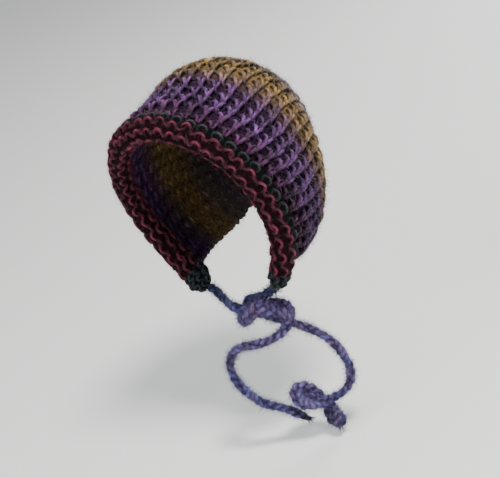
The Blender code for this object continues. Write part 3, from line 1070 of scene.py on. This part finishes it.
def add_plait(yarn, path, dyes, girth, seed):
    """Three strands of yarn plaited round a path. Also gives the plait's two directions along it."""
    count = len(path)
    first, second = route_frames(path)
    run = run_along(path)
    spin = run / SPIN_LENGTH * 2 * np.pi
    a = first * np.cos(spin)[:, None] + second * np.sin(spin)[:, None]
    b = second * np.cos(spin)[:, None] - first * np.sin(spin)[:, None]
    swell = girth * (1 + SWELL_WANDER * wander(count, step=12, seed=SWELL_SEED + seed))
    for strand in range(3):
        phase = 2 * np.pi * (run / PLAIT_LENGTH + strand / 3)
        sway = np.sin(phase) * STRAND_SWAY * swell
        rise = np.sin(2 * phase) * STRAND_RISE * swell
        line = path + a * sway[:, None] + b * rise[:, None]
        # Painted light: bright on the strand's outer side, shaded where it dips to the middle
        lift = np.clip(np.linalg.norm(line - path, axis=1) / FULL_LIGHT_DISTANCE, LOWEST_LIFT, 1)
        own = strand + 10 * seed
        tone = np.exp(STRAND_TONE * wander(count, step=7, seed=STRAND_TONE_SEED + own))[:, None]
        hue = 1 + np.array(HUE_SWING) * wander(count, step=14, seed=STRAND_HUE_SEED + own)[:, None]
        radius = STRAND_RADIUS * girth * (1 + GIRTH_WANDER * wander(count, step=7, seed=GIRTH_SEED + own))
        yarn.add(line, radius, dyes * tone * hue, unit(line - path + PLACE_NUDGE), lift)
    return a, b


def make_tie(name, which, route, far_end, materials):
    """A knitted cord: three plaited strands from the corner to its end, and loose fibres."""
    middle, tangent = corner_frame(which, CORNER_LENGTH + 2 * GAP)[:2]
    points = np.vstack([middle, middle + tangent * TIE_DIAMETER * TIE_STRAIGHT, np.array(route) * MM])
    path, length = smooth_route(points, ROUTE_STEP)
    run = np.linspace(0, length, len(path))
    dyes = stripe_dye(TIE_STRIPES, run / length)
    knot_share, reach, gain = TIE_KNOTS[name]
    girth = 1 + gain * np.exp(-((run / length - knot_share) / reach)**4)
    if far_end == "bare":
        girth = girth * (1 - FRAY_TAPER * np.clip(1 - (length - run) / FRAY_LENGTH, 0, 1)**1.5)
    yarn = YarnMesh()
    a, b = add_plait(yarn, path, dyes, girth, which)
    cord = yarn_object(name + "_cord", yarn, materials["tie_wool"])
    fuzz = fuzz_object(name + "_fuzz", yarn, materials["tie_fuzz"], "tie", which)
    tip = make_tip(name, path, far_end, dyes)
    tip_fuzz = fuzz_object(name + "_tip_fuzz", tip, materials["tie_fuzz"], "tip", which)
    add_fray(tip, path, a[-1], b[-1], dyes[-1], FRAY_COUNTS[far_end])
    tip = yarn_object(name + "_tip", tip, materials["tie_wool"])
    for piece in (cord, fuzz, tip, tip_fuzz):
        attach(piece, "root")
    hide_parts(name)


def make_tip(name, path, far_end, dyes):
    """What is not the cord's own line: the turn that fills its knot, and a knotted tie's doubled end."""
    yarn = YarnMesh()
    start, end, bow, girth = KNOT_TURNS[name]
    last = len(path) - 1
    first_point, last_point = (path[int(share * last)] for share in (start, end))
    across = np.linspace(0, 1, 40)[:, None]
    turn = (first_point + (last_point - first_point) * across
            + np.array(bow) * MM * np.sin(np.pi * across))
    add_plait(yarn, turn, dyes[int((start + end) / 2 * last)], np.full(len(turn), girth), KNOT_SEED)
    if far_end == "knot":
        add_cast_off(yarn, path, dyes[-1])
    return yarn


def end_direction(path):
    return unit(path[-1] - path[-8])


def add_fray(yarn, path, a, b, dye, count):
    """The cut ends of the cord's fibres, standing out of its tip between the directions a and b."""
    ahead = end_direction(path)
    draw = np.random.default_rng(FRAY_SEED)
    for k in range(count):
        lean = draw.normal(size=2)
        aside = a * lean[0] + b * lean[1]
        root = path[-1] + aside * FRAY_SPREAD
        reach = draw.uniform(*FRAY_REACH)
        fray = np.array([root + ahead * reach * t + aside * FRAY_BEND * t**2
                         for t in np.linspace(-0.4, 1, 9)])
        # Nearly full painted light on the cut ends
        yarn.add(fray, np.linspace(*FRAY_RADII, 9), dye * FRAY_SHADE, ahead, 0.9, sides=4)


def add_cast_off(yarn, path, dye):
    """The knotted tie's end: the cord lies doubled round itself in one fat, blunt tuft."""
    beyond = end_direction(path) * np.linspace(0.5, 1.5, 3)[:, None] * MM
    line = np.vstack([path[-int(CAST_OFF_LENGTH / ROUTE_STEP):], path[-1] + beyond])
    one, two = route_frames(line)
    share = np.linspace(0, 1, len(line))
    spread = CAST_OFF_SPREAD * np.sin(np.pi * (0.12 + 0.70 * share))
    girth = CAST_OFF_GIRTH * np.sqrt(np.clip(1 - share**8, 0.15, 1))
    for part in range(3):
        angle = 2 * np.pi * (part / 3 + 0.30 * share)
        away = one * np.cos(angle)[:, None] + two * np.sin(angle)[:, None]
        add_plait(yarn, line + away * spread[:, None], dye * CAST_OFF_SHADE, girth, CAST_OFF_SEED + part)


def make_camera():
    """The camera at the photograph's viewing angle, and its directions right, up and back."""
    azimuth, elevation, roll = np.radians([VIEW_AZIMUTH, VIEW_ELEVATION, VIEW_ROLL])
    back = Vector((np.sin(azimuth) * np.cos(elevation), -np.cos(azimuth) * np.cos(elevation),
                   np.sin(elevation)))
    level = Vector((np.cos(azimuth), np.sin(azimuth), 0))
    upright = back.cross(level)
    right = level * np.cos(roll) - upright * np.sin(roll)
    up = level * np.sin(roll) + upright * np.cos(roll)
    data = bpy.data.cameras.new("camera")
    data.sensor_width = SENSOR_WIDTH
    data.lens = SENSOR_WIDTH * VIEW_DISTANCE / (IMAGE_WIDTH * METRES_PER_PIXEL)
    data.shift_x = (IMAGE_WIDTH / 2 - TARGET_PIXEL[0]) / IMAGE_WIDTH
    data.shift_y = (TARGET_PIXEL[1] - IMAGE_HEIGHT / 2) / IMAGE_WIDTH
    camera = link_object("camera", data)
    turn = Matrix((right, up, back)).transposed().to_4x4()
    camera.matrix_world = Matrix.Translation(Vector(VIEW_TARGET) + back * VIEW_DISTANCE) @ turn
    bpy.context.scene.camera = camera
    return right, up, back


def area_light(name, place, target, size, power, colour):
    data = bpy.data.lights.new(name, "AREA")
    data.shape = "DISK"
    data.size = size
    data.energy = power
    data.color = colour
    lamp = link_object(name, data)
    lamp.location = place
    lamp.rotation_euler = (Vector(target) - Vector(place)).to_track_quat("-Z", "Y").to_euler()


def make_floor():
    level = min(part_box("tie_left")[0].z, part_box("tie_right")[0].z) - FLOOR_CLEARANCE
    mesh = bpy.data.meshes.new("floor")
    corners = [(x * FLOOR_REACH, y * FLOOR_REACH, level) for x, y in ((-1, -1), (1, -1), (1, 1), (-1, 1))]
    mesh.from_pydata(corners, [], [(0, 1, 2, 3)])
    material = bpy.data.materials.new("floor")
    material.use_nodes = True
    fill(material.node_tree.nodes["Principled BSDF"],
         {"Base Color": (*FLOOR_COLOUR, 1), "Roughness": 0.9})
    mesh.materials.append(material)
    link_object("floor", mesh)


def make_studio(right, up, back):
    target = Vector(VIEW_TARGET)
    for name, (back_by, up_by, right_by), size, power, colour in LIGHTS:
        place = target + back * back_by + up * up_by + right * right_by
        area_light(name, place, target, size, power, colour)
    world = bpy.data.worlds.new("studio")
    world.use_nodes = True
    fill(world.node_tree.nodes["Background"], {"Color": (*WORLD_COLOUR, 1), "Strength": WORLD_STRENGTH})
    bpy.context.scene.world = world
    make_floor()


def make_materials():
    materials = {name: yarn_material(name, *looks) for name, looks in WOOLS.items()}
    materials.update({name: fuzz_material(name, *looks) for name, looks in FUZZES.items()})
    materials["felt"] = backing_material("felt")
    return materials


def make_bonnet():
    right, up, back = make_camera()
    materials = make_materials()
    make_tie("tie_left", 1, LEFT_TIE_ROUTE, "bare", materials)
    make_tie("tie_right", -1, RIGHT_TIE_ROUTE, "knot", materials)
    make_crown(materials)
    make_brim(materials)
    make_corner("corner_left", 1, materials)
    make_corner("corner_right", -1, materials)
    make_studio(right, up, back)


make_bonnet()
